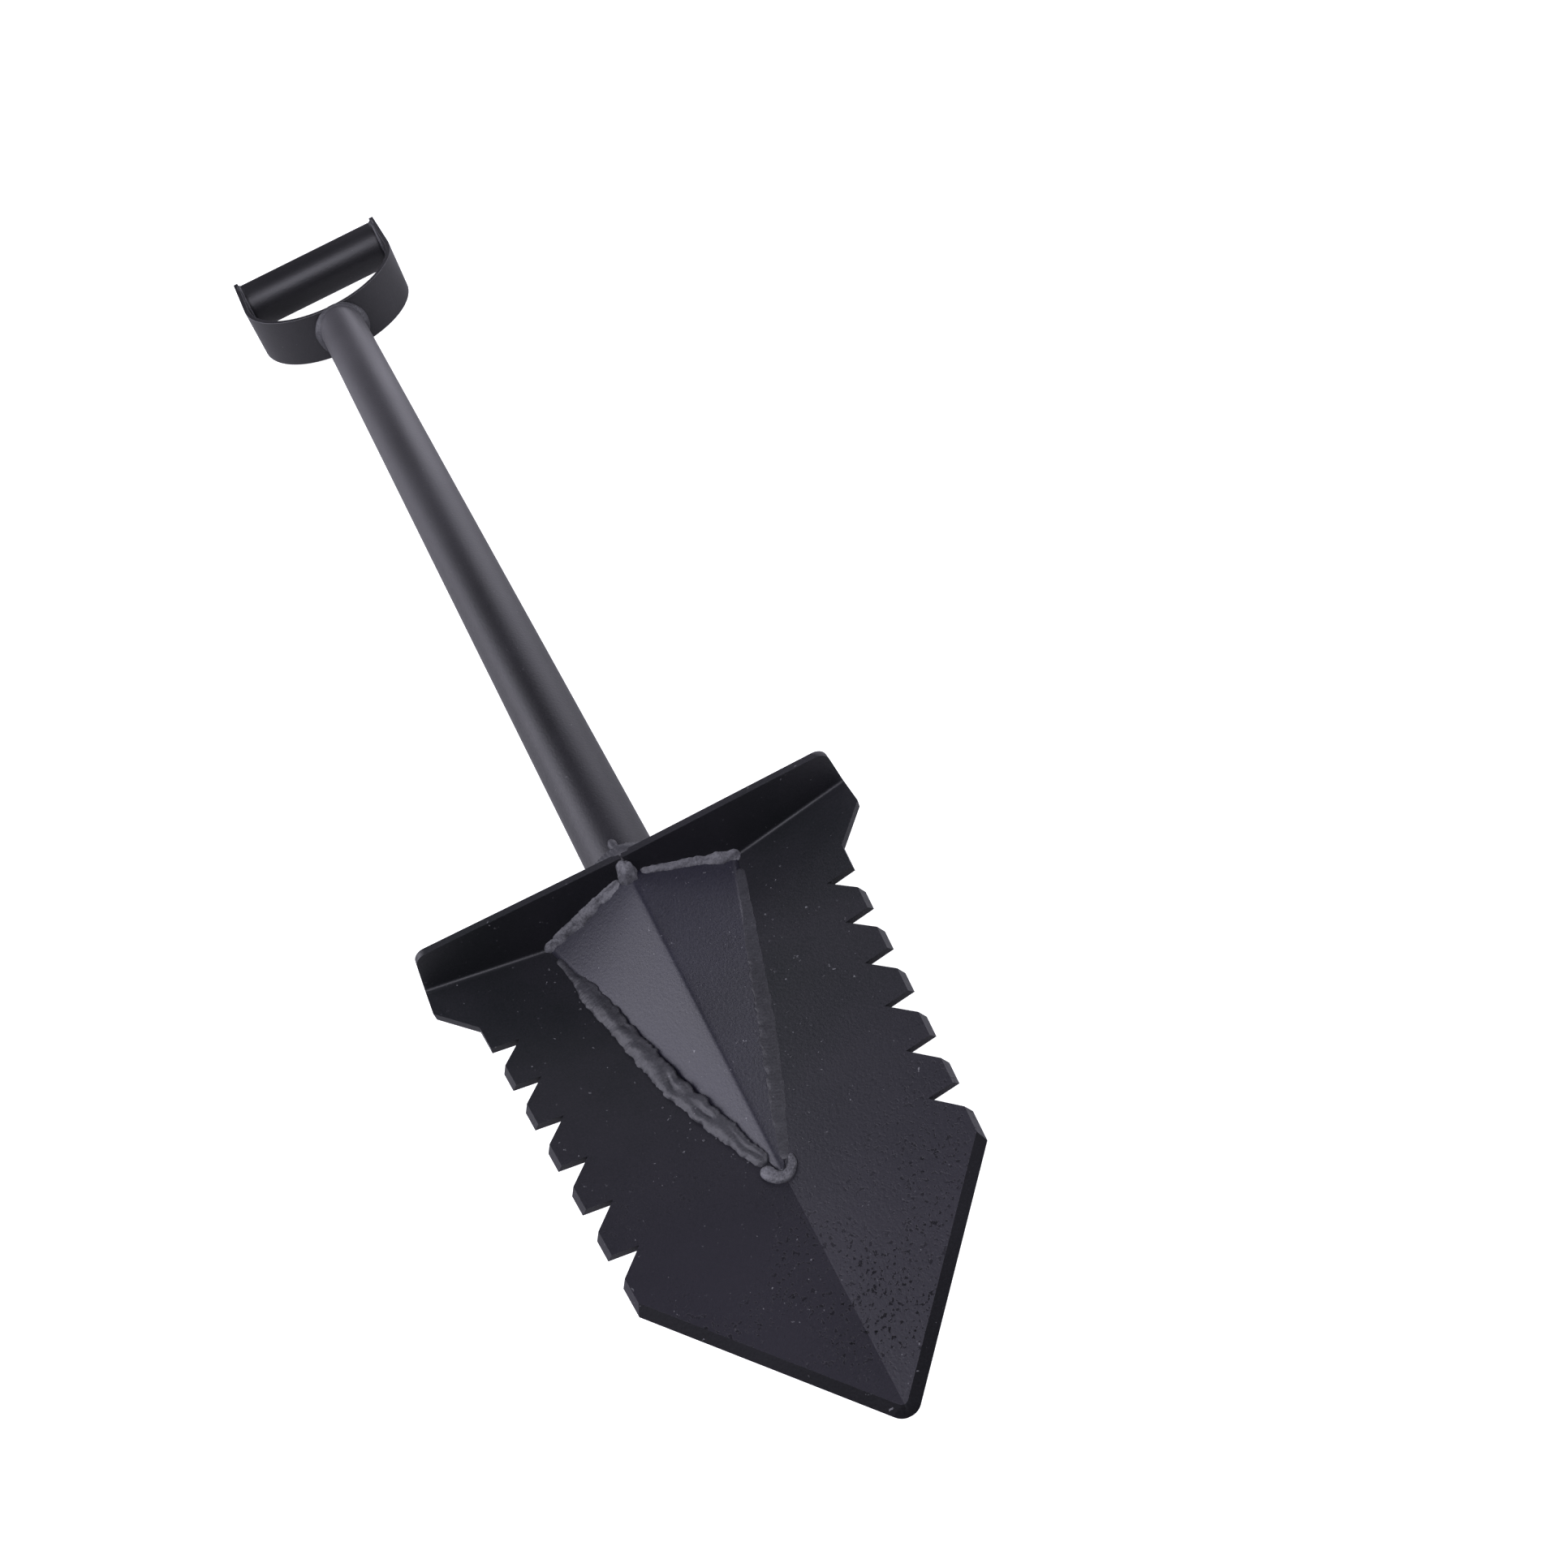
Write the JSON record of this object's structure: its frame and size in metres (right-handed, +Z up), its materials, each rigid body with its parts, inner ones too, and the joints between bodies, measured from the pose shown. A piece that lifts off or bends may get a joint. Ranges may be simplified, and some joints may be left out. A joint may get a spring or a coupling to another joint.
{
  "type": "detecting shovel",
  "caption": "All-steel digging shovel with a V-folded serrated blade, folded foot rests, a welded gusset, a round tube shaft and a D-handle.",
  "frame": {"origin": "centre of the bottom of the overall box, on the surface that the shovel lies on, back down", "axes": "+X across the blade, +Y along the shaft from the blade's point to the D-handle, +Z up, out of the blade's front face"},
  "size_m": [0.2, 0.9668, 0.0454],
  "materials": {
    "blade": "satin black powder coat on 3.4 mm steel plate, lighter along ground edges",
    "gusset": "satin black powder coat on folded 3 mm steel plate",
    "shaft": "satin black powder coat on round steel tube",
    "yoke": "satin black powder coat on bent flat bar",
    "grip": "satin black powder coat on round steel tube",
    "weld": "powder-coated weld metal, rippled, with spatter"
  },
  "bodies": {
    "root": {"blade": "blade", "gusset": "gusset", "shaft": "shaft", "yoke": "yoke", "grip": "grip", "foot_rest_seam_weld": "weld", "shaft_foot_weld": "weld", "shaft_head_weld": "weld", "gusset_side_weld_left": "weld", "gusset_side_weld_right": "weld", "gusset_top_weld_left": "weld", "gusset_top_weld_right": "weld", "ridge_weld": "weld", "gusset_nose_weld": "weld", "grip_weld_left": "weld", "grip_weld_right": "weld"}
  },
  "joints": []
}
